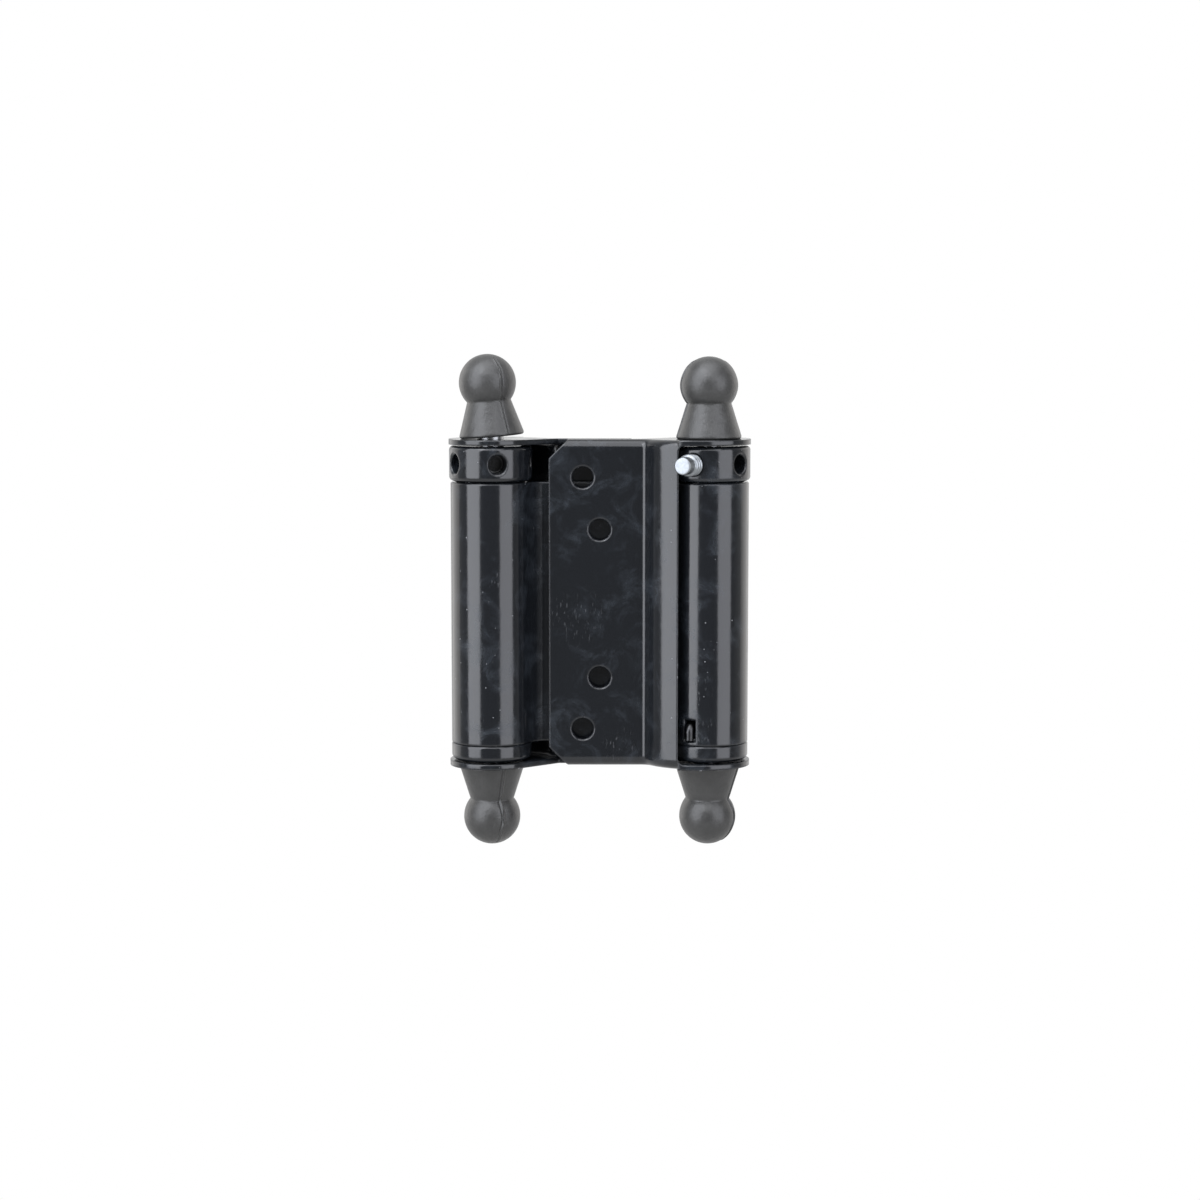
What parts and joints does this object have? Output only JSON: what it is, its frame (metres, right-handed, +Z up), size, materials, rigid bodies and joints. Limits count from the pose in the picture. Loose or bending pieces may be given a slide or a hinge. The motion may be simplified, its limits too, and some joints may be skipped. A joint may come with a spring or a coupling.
{
  "type": "double action spring hinge",
  "caption": "Black sheet-steel double action spring hinge: twin barrels joined by a web, wrap-round leaves, tension collars and ball finials; lets a swing door open both ways.",
  "frame": {"origin": "midway between the two pivot axes, half way up the leaves", "axes": "+Z up along the pivot axes, +X from the rear leaf's pin to the front leaf's pin, +Y to the back"},
  "size_m": [0.069, 0.0308, 0.113],
  "materials": {
    "lacquer": "gloss black",
    "moulded_finial": "satin dark grey moulding",
    "zinc_plate": "bright zinc",
    "bright_steel": "drawn steel",
    "spring_steel": "oiled spring wire"
  },
  "bodies": {
    "rear_leaf": {"rear_leaf": "lacquer", "rear_pivot_pin": "bright_steel", "rear_top_finial": "moulded_finial", "rear_bottom_finial": "moulded_finial"},
    "centre": {"centre_barrels": "lacquer", "front_end_cap": "lacquer", "rear_end_cap": "lacquer", "front_spring": "spring_steel", "rear_spring": "spring_steel"},
    "front_leaf": {"front_leaf": "lacquer", "front_pivot_pin": "bright_steel", "front_top_finial": "moulded_finial", "front_bottom_finial": "moulded_finial"},
    "rear_collar": {"rear_collar": "lacquer", "rear_tension_pin": "zinc_plate"},
    "front_collar": {"front_collar": "lacquer", "front_tension_pin": "zinc_plate"}
  },
  "joints": [
    {"name": "rear_swing", "type": "hinge", "parent": "rear_leaf", "child": "centre", "pos_m": [-0.0249, 0, 0], "axis": [0, 0, -1], "range_deg": [0, 180], "stiffness_Nm_per_rad": 0.3, "springref_deg": -45.84, "deforming": ["rear_spring"]},
    {"name": "front_swing", "type": "hinge", "parent": "centre", "child": "front_leaf", "pos_m": [0.0249, 0, 0], "axis": [0, 0, 1], "range_deg": [0, 180], "stiffness_Nm_per_rad": 0.3, "springref_deg": -45.84, "deforming": ["front_spring"]},
    {"name": "rear_collar_turn", "type": "hinge", "parent": "rear_leaf", "child": "rear_collar", "pos_m": [-0.0249, 0, 0], "axis": [0, 0, 1], "range_deg": [0, 216], "stiffness_Nm_per_rad": 0.05, "springref_deg": -45.84, "deforming": ["rear_spring"]},
    {"name": "front_collar_turn", "type": "hinge", "parent": "front_leaf", "child": "front_collar", "pos_m": [0.0249, 0, 0], "axis": [0, 0, 1], "range_deg": [0, 216], "stiffness_Nm_per_rad": 0.05, "springref_deg": -45.84, "deforming": ["front_spring"]}
  ]
}
